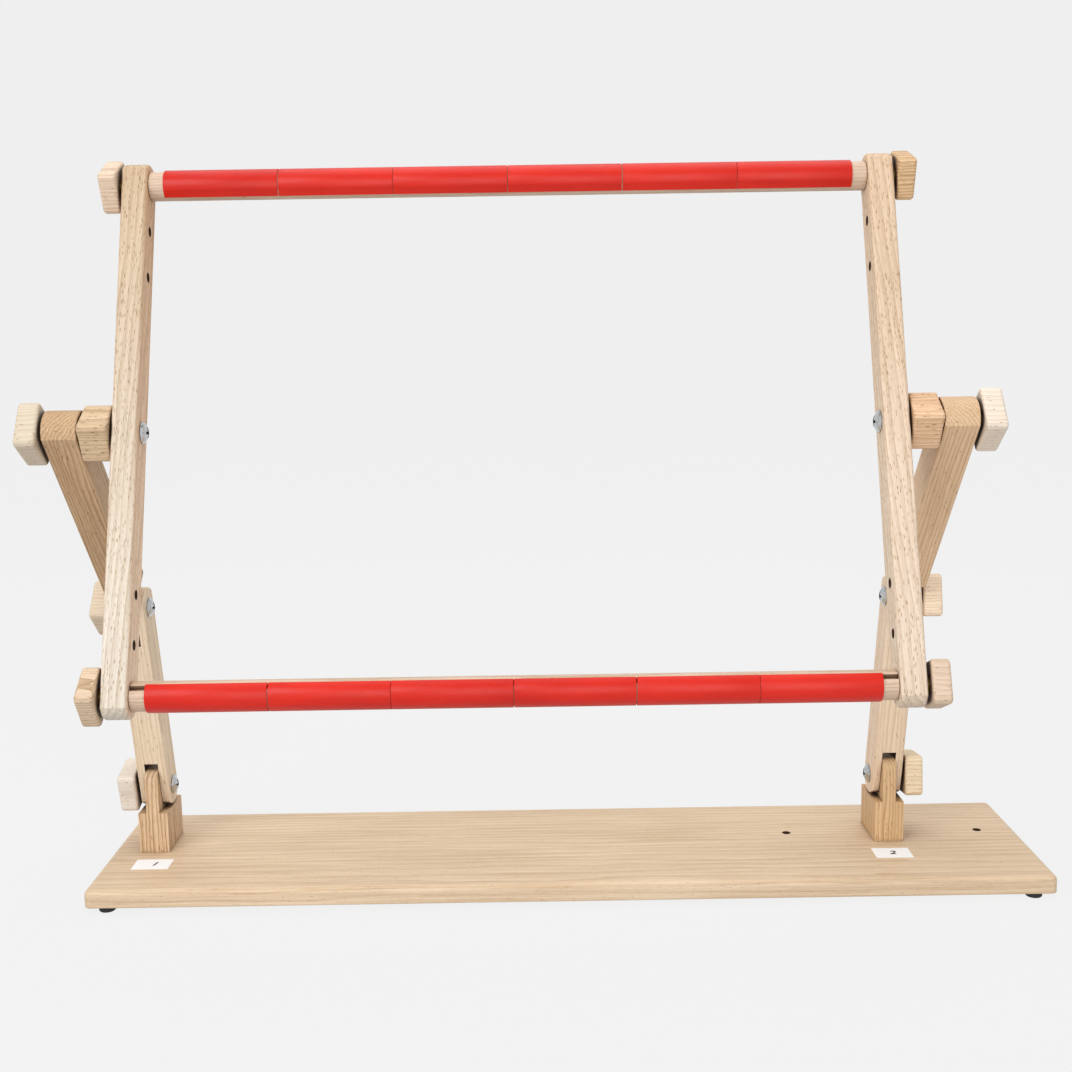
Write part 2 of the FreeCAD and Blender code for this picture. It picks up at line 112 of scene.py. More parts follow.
def mesh_piece(name: str, points: Sequence[Vector], faces: Sequence[Sequence[int]]) -> bpy.types.Object:
    """Makes a mesh object in the scene, shaded smoothly up to its sharp edges.

    Args:
        name: The piece's name.
        points: Corners, in metres.
        faces: Corner numbers of each face.

    Returns:
        The new object.
    """
    mesh = bpy.data.meshes.new(name)
    mesh.from_pydata([tuple(p) for p in points], [], [tuple(f) for f in faces])
    mesh.validate()
    mesh.update()
    mesh.shade_smooth()
    mesh.set_sharp_from_angle(angle=math.radians(SHARP_ANGLE))
    piece = bpy.data.objects.new(name, mesh)
    bpy.context.scene.collection.objects.link(piece)
    return piece


def loft(name: str, rings: Sequence[Sequence[Vector]]) -> bpy.types.Object:
    """Makes a closed solid through rings of points, capped at both ends.

    Args:
        name: The piece's name.
        rings: Loops with the same number of points each.

    Returns:
        The new object.
    """
    count = len(rings[0])
    points = [p for ring in rings for p in ring]
    faces: list[list[int]] = []
    for k in range(len(rings) - 1):
        for i in range(count):
            j = (i + 1) % count
            faces.append([k * count + i, k * count + j, (k + 1) * count + j, (k + 1) * count + i])
    faces.append(list(reversed(range(count))))
    faces.append([(len(rings) - 1) * count + i for i in range(count)])
    return mesh_piece(name, points, faces)


# ---------------------------------------------------------------- finishes


@dataclass(frozen=True)
class Finish:
    """A surface finish that makes one material."""

    name: str

    def material(self) -> bpy.types.Material:
        """Returns this finish's material, made the first time it is asked for."""
        found = bpy.data.materials.get(self.name)
        if found is not None:
            return found
        made = bpy.data.materials.new(self.name)
        made.use_nodes = True
        tree = made.node_tree
        tree.nodes.clear()
        output = tree.nodes.new("ShaderNodeOutputMaterial")
        tree.links.new(self.surface(tree), output.inputs["Surface"])
        return made

    def surface(self, tree: Tree) -> Socket:
        """Builds the shader in a tree and returns its output."""
        raise NotImplementedError


class Run(Enum):
    """The way a piece's grain runs."""

    ACROSS = "left to right"
    UPRIGHT = "up, leaning to the back by the finish's lean"


@dataclass(frozen=True)
class Clouds:
    """A soft random pattern with features of this many millimetres on each axis."""

    size_mm: Triple
    detail: float
    roughness: float = 0.55
    distortion: float = 0.0

    def strength(self, tree: Tree, place_mm: Socket) -> Socket:
        """Builds the pattern.

        Args:
            tree: The material's node tree.
            place_mm: Place in the material, in millimetres.

        Returns:
            The pattern, from 0 to 1 with its middle near a half.
        """
        scaled = add_node(tree, "ShaderNodeVectorMath", {0: place_mm, 1: self.size_mm}, operation="DIVIDE")
        inputs = {
            "Vector": scaled,
            "Scale": 1.0,
            "Detail": self.detail,
            "Roughness": self.roughness,
            "Distortion": self.distortion,
        }
        return add_node(tree, "ShaderNodeTexNoise", inputs, "Fac")


@dataclass(frozen=True)
class Shade:
    """A shade that multiplies a colour, between one strength where it is absent and one where it is full."""

    amount: Socket
    absent: Triple
    full: Triple

    def over(self, tree: Tree, colour: Socket | Triple) -> Socket:
        """Lays this shade over a colour.

        Args:
            tree: The material's node tree.
            colour: The colour under it.

        Returns:
            The shaded colour.
        """
        inputs = {"Factor": self.amount, A_VECTOR: self.absent, B_VECTOR: self.full}
        blend = add_node(tree, "ShaderNodeMix", inputs, VECTOR_RESULT, data_type="VECTOR")
        return add_node(tree, "ShaderNodeVectorMath", {0: colour, 1: blend}, operation="MULTIPLY")


@dataclass(frozen=True)
class Fork:
    """A slot sawn into a stick's end, from its pivot inwards."""

    pivot: Triple
    into: Triple
    half_mm: float = 7.0
    depth_mm: float = 34.8


@dataclass(frozen=True)
class Beech(Finish):
    """Planed and sanded steamed beech, bare: matt, pinkish cream, with short dark flecks along the grain."""

    tone: str = "#D3B999"
    # Painted shade: a darker tone reached along the stick's upper part, and the span it ramps over.
    top_shade_tone: str = ""
    top_shade_span: tuple[float, float] = (187.0, 633.0)
    contrast: float = 1.0
    run: Run = Run.UPRIGHT
    lean: float = 0.0
    slant: float = 0.0
    pith: Triple = (62.0, 38.0, 0.0)
    ring_mm: float = 5.0
    ring_share: float = 0.5
    streak_share: float = 1.1
    patch_share: float = 0.5
    fibre_share: float = 0.8
    fleck_mm: tuple[float, float] = (0.8, 4.6)
    fleck_share: float = 0.6
    fleck_strength: float = 0.8
    end_shade: float = 0.1
    roughness: float = 0.56
    # Painted light: a tint for the faces that look left and right.
    side_light_tint: Triple = (1.0, 1.0, 1.0)
    # Painted shade in joints and narrow gaps: its strength on each colour, and how far it reaches.
    gap_shade: Triple = (0.11, 0.065, 0.04)
    gap_shade_mm: float = 11.0
    bores: tuple[Triple, ...] = ()
    bore_mm: float = 4.3
    bore_plane: Triple = (0.0, 1.0, 1.0)
    forks: tuple[Fork, ...] = ()

    # Strength of red, green and blue in each kind of mark on the wood, and in the painted shade inside bores
    # and slots.
    early_wood: Triple = (1.2, 1.23, 1.28)
    late_wood: Triple = (0.79, 0.73, 0.64)
    fleck_dark: Triple = (0.6, 0.48, 0.36)
    end_dark: Triple = (0.55, 0.42, 0.3)
    bore_shade: Triple = (0.14, 0.085, 0.05)
    slot_shade: Triple = (0.15, 0.08, 0.055)

    # Grain features in millimetres: across, across and along. They are coarser than real
    # beech vessels (0.05 mm), which would not show.
    sway: Clouds = Clouds((24.0, 24.0, 190.0), 2.0)
    streaks: Clouds = Clouds((1.1, 1.1, 90.0), 3.0, 0.62)
    fibre: Clouds = Clouds((0.55, 0.55, 11.0), 2.0)
    patches: Clouds = Clouds((30.0, 30.0, 160.0), 1.0)
    sway_mm: float = 13.0
    late_sharpness: float = 2.2
    ring_middle: float = 0.31
    gloss_spread: float = 0.07
    relief_mm: float = 0.2

    def grain_line(self) -> Vector:
        """Returns the direction of the grain."""
        if self.run is Run.ACROSS:
            return Vector((1, 0, 0))
        lean = math.radians(self.lean)
        return Vector((0, math.sin(lean), math.cos(lean)))

    def turn(self) -> Triple:
        """Returns the turn that lays the grain along the pattern's own Z."""
        if self.run is Run.ACROSS:
            return (0.0, math.radians(-90), 0.0)
        return (math.radians(self.lean), math.radians(self.slant), 0.0)

    def deeper(self, shade: Triple) -> Triple:
        """Returns a shade's strength on each colour, scaled by the finish's contrast."""
        return tuple(max(0.0, 1 + self.contrast * (part - 1)) for part in shade)

    def surface(self, tree: Tree) -> Socket:
        """Builds solid wood that shows rings on end grain and streaks along the faces.

        Args:
            tree: The material's node tree.

        Returns:
            The shader output.
        """
        place = add_node(tree, "ShaderNodeTexCoord", {}, "Object")
        normal = place.node.outputs["Normal"]
        inputs = {"Vector": place, "Location": self.pith, "Rotation": self.turn(), "Scale": MM_PER_METRE}
        wood = add_node(tree, "ShaderNodeMapping", inputs)
        swing = self.sway.strength(tree, wood).node.outputs["Color"]
        inputs = {0: swing, 1: (self.sway_mm, self.sway_mm, 0.0), 2: wood}
        swayed = add_node(tree, "ShaderNodeVectorMath", inputs, operation="MULTIPLY_ADD")
        streaks = self.streaks.strength(tree, wood)
        fibre = self.fibre.strength(tree, wood)
        flecks = self.flecks(tree, swayed)

        shades = [
            Shade(
                self.growth(tree, wood, swayed, streaks, fibre),
                self.deeper(self.early_wood),
                self.deeper(self.late_wood),
            ),
            Shade(flecks, CLEAR, self.fleck_dark),
            self.end_grain(tree, normal),
            # Painted light from here on: side faces tinted lighter, then painted shade in gaps, bores and
            # slots.
            self.painted_side_light(tree, normal),
            self.painted_gap_shade(tree),
        ]
        if self.bores:
            shades.append(self.painted_bore_shade(tree, place))
        shades += [self.painted_slot_shade(tree, place, fork) for fork in self.forks]
        body = self.stick_colour(tree, wood)
        for shade in shades:
            body = shade.over(tree, body)

        inputs = {
            "Value": streaks,
            "From Min": 0.3,
            "From Max": 0.7,
            "To Min": self.roughness - self.gloss_spread,
            "To Max": self.roughness + self.gloss_spread,
        }
        rough = add_node(tree, "ShaderNodeMapRange", inputs)
        height = add_node(tree, "ShaderNodeMath", {0: flecks, 1: -1.2, 2: fibre}, operation="MULTIPLY_ADD")
        height = add_node(tree, "ShaderNodeMath", {0: streaks, 1: 1.0, 2: height}, operation="MULTIPLY_ADD")
        inputs = {"Height": height, "Strength": 0.5, "Distance": self.relief_mm * MM}
        bump = add_node(tree, "ShaderNodeBump", inputs)
        inputs = {
            "Base Color": body,
            "Roughness": rough,
            "IOR": 1.5,
            "Specular IOR Level": 0.35,
            "Normal": bump,
        }
        return add_node(tree, "ShaderNodeBsdfPrincipled", inputs)

    def stick_colour(self, tree: Tree, wood: Socket) -> Socket | Triple:
        """Returns the wood's middle colour, painted darker towards the top as shade where a top tone is
        given.

        Args:
            tree: The material's node tree.
            wood: Place in the wood, in millimetres, with the grain along Z.

        Returns:
            The colour.
        """
        near = linear(self.tone)[:3]
        if not self.top_shade_tone:
            return near
        upward = add_node(tree, "ShaderNodeSeparateXYZ", {0: wood}, "Z")
        low, high = (edge + self.pith[2] for edge in self.top_shade_span)
        along = add_node(tree, "ShaderNodeMapRange", {"Value": upward, "From Min": low, "From Max": high})
        inputs = {"Factor": along, A_VECTOR: near, B_VECTOR: linear(self.top_shade_tone)[:3]}
        return add_node(tree, "ShaderNodeMix", inputs, VECTOR_RESULT, data_type="VECTOR")

    def growth(self, tree: Tree, wood: Socket, swayed: Socket, streaks: Socket, fibre: Socket) -> Socket:
        """Adds up rings, streaks, patches and fibre, each about its own middle.

        Args:
            tree: The material's node tree.
            wood: Place in the wood, in millimetres, with the grain along Z.
            swayed: The same place, bent the way that the stem grew.
            streaks: The long streaks.
            fibre: The short fibre.

        Returns:
            How dark the growth is, from 0 to 1.
        """
        inputs = {"Vector": swayed, "Scale": 2 * math.pi / (20 * self.ring_mm), "Distortion": 0.0}
        rings = add_node(
            tree,
            "ShaderNodeTexWave",
            inputs,
            "Fac",
            wave_type="RINGS",
            rings_direction="Z",
            wave_profile="SAW",
        )
        late = add_node(tree, "ShaderNodeMath", {0: rings, 1: self.late_sharpness}, operation="POWER")
        shares = (
            (late, self.ring_share, self.ring_middle),
            (streaks, self.streak_share, 0.5),
            (self.patches.strength(tree, wood), self.patch_share, 0.5),
            (fibre, self.fibre_share, 0.5),
        )
        tone: Socket | float = 0.5 - sum(share * middle for _, share, middle in shares)
        for part, share, _ in shares:
            tone = add_node(tree, "ShaderNodeMath", {0: part, 1: share, 2: tone}, operation="MULTIPLY_ADD")
        return add_node(tree, "ShaderNodeMath", {0: tone, 1: 0.0}, operation="ADD", use_clamp=True)

    def end_grain(self, tree: Tree, normal: Socket) -> Shade:
        """Adds the darker look of faces cut across the grain.

        Args:
            tree: The material's node tree.
            normal: The surface's direction.

        Returns:
            The shade.
        """
        inputs = {0: normal, 1: tuple(self.grain_line())}
        facing = add_node(tree, "ShaderNodeVectorMath", inputs, "Value", operation="DOT_PRODUCT")
        facing = add_node(tree, "ShaderNodeMath", {0: facing}, operation="ABSOLUTE")
        inputs = {"Value": facing, "From Min": 0.55, "From Max": 0.95, "To Max": self.end_shade}
        amount = add_node(tree, "ShaderNodeMapRange", inputs, interpolation_type="SMOOTHSTEP")
        return Shade(amount, CLEAR, self.end_dark)

    def painted_side_light(self, tree: Tree, normal: Socket) -> Shade:
        """Adds painted light on the faces that look left and right, as a tint that brightens them.

        Args:
            tree: The material's node tree.
            normal: The surface's direction.

        Returns:
            The shade.
        """
        sideways = add_node(tree, "ShaderNodeSeparateXYZ", {0: normal}, "X")
        sideways = add_node(tree, "ShaderNodeMath", {0: sideways}, operation="ABSOLUTE")
        amount = add_node(tree, "ShaderNodeMath", {0: sideways, 1: 3.0}, operation="POWER")
        return Shade(amount, CLEAR, self.side_light_tint)

    def painted_gap_shade(self, tree: Tree) -> Shade:
        """Adds painted shade in joints, drilled holes and narrow gaps, darkest where the surface is most
        closed in.

        Args:
            tree: The material's node tree.

        Returns:
            The shade.
        """
        inputs = {"Distance": self.gap_shade_mm * MM}
        depth = add_node(tree, "ShaderNodeAmbientOcclusion", inputs, "AO", samples=5, only_local=False)
        inputs = {"Value": depth, "From Min": 0.18, "From Max": 0.6}
        opened = add_node(tree, "ShaderNodeMapRange", inputs, interpolation_type="SMOOTHSTEP")
        return Shade(opened, self.gap_shade, CLEAR)

    def painted_bore_shade(self, tree: Tree, place: Socket) -> Shade:
        """Adds painted shade inside bores: a dark brown over their walls.

        Args:
            tree: The material's node tree.
            place: Place in the frame, in metres.

        Returns:
            The shade.
        """
        # Painted shade: dark brown within a bore's radius of each bore's axis.
        flat = add_node(tree, "ShaderNodeVectorMath", {0: place, 1: self.bore_plane}, operation="MULTIPLY")
        nearest: Socket | float = 1.0
        for bore in self.bores:
            middle = tuple(part * kept for part, kept in zip(bore, self.bore_plane))
            gap = add_node(tree, "ShaderNodeVectorMath", {0: flat, 1: middle}, "Value", operation="DISTANCE")
            nearest = add_node(tree, "ShaderNodeMath", {0: gap, 1: nearest}, operation="MINIMUM")
        inputs = {"Value": nearest, "From Min": self.bore_mm * MM, "From Max": (self.bore_mm + 0.3) * MM}
        return Shade(add_node(tree, "ShaderNodeMapRange", inputs), self.bore_shade, CLEAR)

    def painted_slot_shade(self, tree: Tree, place: Socket, fork: Fork) -> Shade:
        """Adds painted shade inside a sawn slot.

        Args:
            tree: The material's node tree.
            place: Place in the frame, in metres.
            fork: The slot.

        Returns:
            The shade.
        """
        # Painted shade: dark on every face between the slot's walls and short of its roof.
        offset = add_node(tree, "ShaderNodeVectorMath", {0: place, 1: fork.pivot}, operation="SUBTRACT")
        inputs = {0: offset, 1: fork.into}
        along = add_node(tree, "ShaderNodeVectorMath", inputs, "Value", operation="DOT_PRODUCT")
        sideways = add_node(tree, "ShaderNodeSeparateXYZ", {0: offset}, "X")
        off_middle = add_node(tree, "ShaderNodeMath", {0: sideways}, operation="ABSOLUTE")
        inputs = {0: off_middle, 1: fork.half_mm * MM}
        between = add_node(tree, "ShaderNodeMath", inputs, operation="LESS_THAN")
        deep = add_node(tree, "ShaderNodeMath", {0: along, 1: fork.depth_mm * MM}, operation="LESS_THAN")
        inside = add_node(tree, "ShaderNodeMath", {0: between, 1: deep}, operation="MULTIPLY")
        return Shade(inside, CLEAR, self.slot_shade)

    def flecks(self, tree: Tree, wood: Socket) -> Socket:
        """Adds the spindle-shaped ray flecks, one to a cell at most.

        Args:
            tree: The material's node tree.
            wood: Place in the wood, in millimetres, with the grain along Z.

        Returns:
            How much fleck there is at a point, from 0 to 1.
        """
        width, length = self.fleck_mm
        cell_mm = (width * 2.0, width * 2.0, length * 1.7)
        cell = add_node(tree, "ShaderNodeVectorMath", {0: wood, 1: cell_mm}, operation="DIVIDE")
        inputs = {"Vector": cell, "Scale": 1.0, "Randomness": 1.0}
        distance = add_node(tree, "ShaderNodeTexVoronoi", inputs, "Distance", feature="F1")
        inputs = {"Value": distance, "From Min": 0.16, "From Max": 0.4, "To Min": 1.0, "To Max": 0.0}
        dash = add_node(tree, "ShaderNodeMapRange", inputs, interpolation_type="SMOOTHSTEP")
        pick = add_node(tree, "ShaderNodeSeparateColor", {0: distance.node.outputs["Color"]})
        inputs = {
            "Value": pick,
            "From Min": 1 - self.fleck_share,
            "From Max": 1.0,
            "To Min": 0.0,
            "To Max": self.fleck_strength * 1.6,
        }
        chosen = add_node(tree, "ShaderNodeMapRange", inputs)
        return add_node(tree, "ShaderNodeMath", {0: dash, 1: chosen}, operation="MULTIPLY", use_clamp=True)


@dataclass(frozen=True)
class SoftPvc(Finish):
    """Extruded and cut soft PVC, satin: saturated red, with faint draw lines along its length and scuffs."""

    base: str = "#D02414"
    deep: str = "#BF1D10"
    roughness: float = 0.36
    wrinkle: float = 0.25
    relief_mm: float = 0.12

    clouds: Clouds = Clouds((38.0, 9.0, 9.0), 3.0, 0.6)
    slow: Clouds = Clouds((210.0, 60.0, 60.0), 1.0, 0.6)
    drawn: Clouds = Clouds((60.0, 0.8, 0.8), 2.0, 0.6)
    ripple: Clouds = Clouds((9.0, 4.0, 5.0), 3.0, 0.6, 1.4)

    def surface(self, tree: Tree) -> Socket:
        """Builds the plastic.

        Args:
            tree: The material's node tree.

        Returns:
            The shader output.
        """
        spot = add_node(tree, "ShaderNodeTexCoord", {}, "Object")
        place = add_node(tree, "ShaderNodeMapping", {"Vector": spot, "Scale": MM_PER_METRE})
        ripple = self.ripple.strength(tree, place)
        inputs = {0: self.slow.strength(tree, place), 1: 1.3, 2: self.clouds.strength(tree, place)}
        clouds = add_node(tree, "ShaderNodeMath", inputs, operation="MULTIPLY_ADD")
        tone = add_node(tree, "ShaderNodeMapRange", {"Value": clouds, "From Min": 0.85, "From Max": 1.5})
        inputs = {"Factor": tone, A_COLOUR: linear(self.base), B_COLOUR: linear(self.deep)}
        body = add_node(tree, "ShaderNodeMix", inputs, COLOUR_RESULT, data_type="RGBA")
        inputs = {
            "Value": ripple,
            "From Min": 0.3,
            "From Max": 0.7,
            "To Min": self.roughness - 0.06,
            "To Max": self.roughness + 0.08,
        }
        rough = add_node(tree, "ShaderNodeMapRange", inputs)
        inputs = {0: ripple, 1: self.wrinkle * 8, 2: self.drawn.strength(tree, place)}
        height = add_node(tree, "ShaderNodeMath", inputs, operation="MULTIPLY_ADD")
        inputs = {"Height": height, "Strength": 0.35, "Distance": self.relief_mm * MM}
        bump = add_node(tree, "ShaderNodeBump", inputs)
        inputs = {
            "Base Color": body,
            "Roughness": rough,
            "IOR": 1.53,
            "Specular IOR Level": 0.22,
            "Normal": bump,
        }
        return add_node(tree, "ShaderNodeBsdfPrincipled", inputs)


@dataclass(frozen=True)
class Metal(Finish):
    """A metal surface: bright, with fine tumbling or turning marks in its gloss, and painted shade darkening
    its corners and recesses.
    """

    base: str = "#C9CED2"
    worn: str = "#A9AFB4"
    roughness: float = 0.26
    # Real tumbling marks are finer than a tenth of this and would not show.
    mark_mm: Triple = (1.2, 1.2, 1.2)
    recess_shade: str = "#1B1A19"
    recess_shade_mm: float = 3.0
    relief_mm: float = 0.06

    def surface(self, tree: Tree) -> Socket:
        """Builds the metal.

        Args:
            tree: The material's node tree.

        Returns:
            The shader output.
        """
        spot = add_node(tree, "ShaderNodeTexCoord", {}, "Object")
        scale = tuple(1 / (size * MM) for size in self.mark_mm)
        place = add_node(tree, "ShaderNodeMapping", {"Vector": spot, "Scale": scale})
        inputs = {"Vector": place, "Scale": 1.0, "Detail": 4.0, "Roughness": 0.6}
        marks = add_node(tree, "ShaderNodeTexNoise", inputs, "Fac")
        inputs = {"Factor": marks, A_COLOUR: linear(self.base), B_COLOUR: linear(self.worn)}
        clean = add_node(tree, "ShaderNodeMix", inputs, COLOUR_RESULT, data_type="RGBA")
        # Painted shade: the colour goes near black where the surface is closed in, as in a cross recess or
        # under a head.
        inputs = {"Distance": self.recess_shade_mm * MM}
        depth = add_node(tree, "ShaderNodeAmbientOcclusion", inputs, "AO", samples=6, only_local=False)
        inputs = {"Value": depth, "From Min": 0.25, "From Max": 0.85}
        opened = add_node(tree, "ShaderNodeMapRange", inputs, interpolation_type="SMOOTHSTEP")
        inputs = {"Factor": opened, A_COLOUR: linear(self.recess_shade), B_COLOUR: clean}
        body = add_node(tree, "ShaderNodeMix", inputs, COLOUR_RESULT, data_type="RGBA")
        inputs = {
            "Value": marks,
            "From Min": 0.3,
            "From Max": 0.7,
            "To Min": self.roughness - 0.07,
            "To Max": self.roughness + 0.1,
        }
        rough = add_node(tree, "ShaderNodeMapRange", inputs)
        inputs = {"Height": marks, "Strength": 0.2, "Distance": self.relief_mm * MM}
        bump = add_node(tree, "ShaderNodeBump", inputs)
        inputs = {"Base Color": body, "Metallic": 1.0, "Roughness": rough, "Normal": bump}
        return add_node(tree, "ShaderNodeBsdfPrincipled", inputs)


@dataclass(frozen=True)
class Speckled(Finish):
    """A dull non-metal in two close tones, with grain in its gloss and height."""

    base: str = "#F4F4F2"
    other: str = "#ECECEA"
    roughness: float = 0.6
    grain_mm: float = 0.6
    relief_mm: float = 0.03
    ior: float = 1.5
    gloss_spread: float = 0.08

    def surface(self, tree: Tree) -> Socket:
        """Builds the surface.

        Args:
            tree: The material's node tree.

        Returns:
            The shader output.
        """
        spot = add_node(tree, "ShaderNodeTexCoord", {}, "Object")
        inputs = {"Vector": spot, "Scale": 1 / (self.grain_mm * MM), "Detail": 4.0, "Roughness": 0.65}
        grain = add_node(tree, "ShaderNodeTexNoise", inputs, "Fac")
        inputs = {"Factor": grain, A_COLOUR: linear(self.base), B_COLOUR: linear(self.other)}
        body = add_node(tree, "ShaderNodeMix", inputs, COLOUR_RESULT, data_type="RGBA")
        low, high = self.roughness - self.gloss_spread, self.roughness + self.gloss_spread
        rough = add_node(tree, "ShaderNodeMapRange", {"Value": grain, "To Min": low, "To Max": high})
        inputs = {"Height": grain, "Strength": 0.4, "Distance": self.relief_mm * MM}
        bump = add_node(tree, "ShaderNodeBump", inputs)
        inputs = {"Base Color": body, "Roughness": rough, "IOR": self.ior, "Normal": bump}
        return add_node(tree, "ShaderNodeBsdfPrincipled", inputs)


@dataclass(frozen=True)
class LitPaper(Finish):
    """Back-lit matt white paper, as on a light table: an even pale grey."""

    glow: str = "#ECECEC"
    sheet: str = "#3A3A3A"
    tooth_mm: float = 4.545
    relief_mm: float = 0.1

    def surface(self, tree: Tree) -> Socket:
        """Builds the paper.

        Args:
            tree: The material's node tree.

        Returns:
            The shader output.
        """
        light = add_node(tree, "ShaderNodeEmission", {"Color": linear(self.glow), "Strength": 1.0})
        spot = add_node(tree, "ShaderNodeTexCoord", {}, "Object")
        inputs = {"Vector": spot, "Scale": 1 / (self.tooth_mm * MM), "Detail": 3.0}
        tooth = add_node(tree, "ShaderNodeTexNoise", inputs, "Fac")
        inputs = {"Height": tooth, "Strength": 0.05, "Distance": self.relief_mm * MM}
        bump = add_node(tree, "ShaderNodeBump", inputs)
        inputs = {"Color": linear(self.sheet), "Roughness": 0.6, "Normal": bump}
        matt = add_node(tree, "ShaderNodeBsdfDiffuse", inputs)
        return add_node(tree, "ShaderNodeAddShader", {0: light, 1: matt})


def dress(finish: Finish, *nodes: str) -> None:
    """Gives a finish to solids of the frame.

    Args:
        finish: The finish.
        nodes: Names of the solids.
    """
    for node in nodes:
        piece = frame["nodes"][node]
        if not piece.material_slots:
            piece.data.materials.append(finish.material())
        for slot in piece.material_slots:
            slot.material = finish.material()
        LOG.info("%s: %s", node, finish.name)


def mounts_named(start: str) -> tuple[Triple, ...]:
    """Returns the places of the record's mounts whose names start this way."""
    mounts = frame["record"]["mounts"]
    return tuple(tuple(mount["pos_m"]) for mount in mounts if mount["name"].startswith(start))


# Bright zinc plate on turned steel, for every bolt, washer and stud.
ZINC = Metal("zinc_plated_steel", "#E6E8E9", "#8C9194", 0.16, (3.2, 3.2, 3.2))


# ---------------------------------------------------------------- sub-assemblies


@dataclass
class BaseBoard:
    """The base board with its posts, feet and the two numbered stickers."""

    sticker_mm: tuple[float, float] = (37.0, 26.0)
    numeral_mm: float = 8.6
    numeral_slant: float = 0.28
    numeral_share: float = 0.72  # of the letter size, taken up by a numeral's height
    stroke_mm: float = 0.38
    ink_mm: float = 0.06
    one_place: float = 0.55  # along its sticker, from the outer end
    two_place: float = 0.5

    board_wood: Beech = Beech(
        "beech_board_oiled",
        tone="#D2B99B",
        run=Run.ACROSS,
        ring_mm=7.0,
        ring_share=0.4,
        streak_share=1.5,
        fleck_mm=(0.6, 3.0),
        fleck_share=0.25,
        fleck_strength=0.4,
        pith=(150.0, 40.0, 0.0),
        roughness=0.5,
        bores=mounts_named("spare_post_hole"),
        bore_plane=(1.0, 1.0, 0.0),
    )
    left_post_wood: Beech = Beech(
        "beech_left_post",
        tone="#C5A786",
        contrast=2.0,
        ring_mm=4.0,
        ring_share=0.7,
        fleck_mm=(0.9, 5.5),
        pith=(41.0, 77.0, 12.0),
    )
    right_post_wood: Beech = Beech(
        "beech_right_post",
        tone="#CAA87E",
        contrast=1.1,
        ring_mm=3.4,
        ring_share=0.8,
        fleck_share=0.35,
        pith=(-55.0, 60.0, 88.0),
    )
    rubber: Speckled = Speckled("rubber_feet_black", "#171415", "#0D0B0C", 0.72, 0.9, 0.05, 1.52)
    paper: Speckled = Speckled("paper_sticker_coated", "#F7F7F6", "#F0F0F1", 0.42, 0.5, 0.02, 1.5)
    ink: Speckled = Speckled("printing_ink_black", "#1A1B1F", "#101114", 0.5, 0.4, 0.01, 1.5)
    screw: Metal = Metal("steel_screws_dull", "#6E6860", "#37322D", 0.4)

    def build(self) -> None:
        """Dresses the base and prints the numerals on the stickers."""
        dress(self.board_wood, "base_board")
        dress(self.left_post_wood, "left_post")
        dress(self.right_post_wood, "right_post")
        dress(self.rubber, "rubber_feet")
        dress(self.paper, "position_labels")
        dress(self.screw, "base_screws")
        low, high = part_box("position_labels")
        width = (high.y - low.y) * self.sticker_mm[0] / self.sticker_mm[1]
        middle = (low.y + high.y) / 2
        self.numeral("1", low.x + width * self.one_place, middle, high.z)
        self.numeral("2", high.x - width * self.two_place, middle, high.z)

    def numeral(self, digit: str, x: float, y: float, z: float) -> None:
        """Prints one slanted numeral.

        Args:
            digit: The numeral.
            x: Its middle, left to right.
            y: Its middle, front to back.
            z: Height of the sticker's face.
        """
        text = bpy.data.curves.new(f"numeral_{digit}", "FONT")
        text.body = digit
        text.size = self.numeral_mm * MM / self.numeral_share
        text.shear = self.numeral_slant
        text.offset = self.stroke_mm * MM
        text.align_x = "CENTER"
        text.align_y = "CENTER"
        text.extrude = self.ink_mm * MM / 2
        carrier = bpy.data.objects.new(f"numeral_{digit}_line", text)
        mesh = bpy.data.meshes.new_from_object(carrier)
        bpy.data.objects.remove(carrier)
        mesh.transform(Matrix.Translation((x, y, z + self.ink_mm * MM / 2)))
        piece = bpy.data.objects.new(f"numeral_{digit}", mesh)
        bpy.context.scene.collection.objects.link(piece)
        piece.data.materials.append(self.ink.material())
        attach(piece, "base")
        LOG.info("%s: %s", piece.name, self.ink.name)


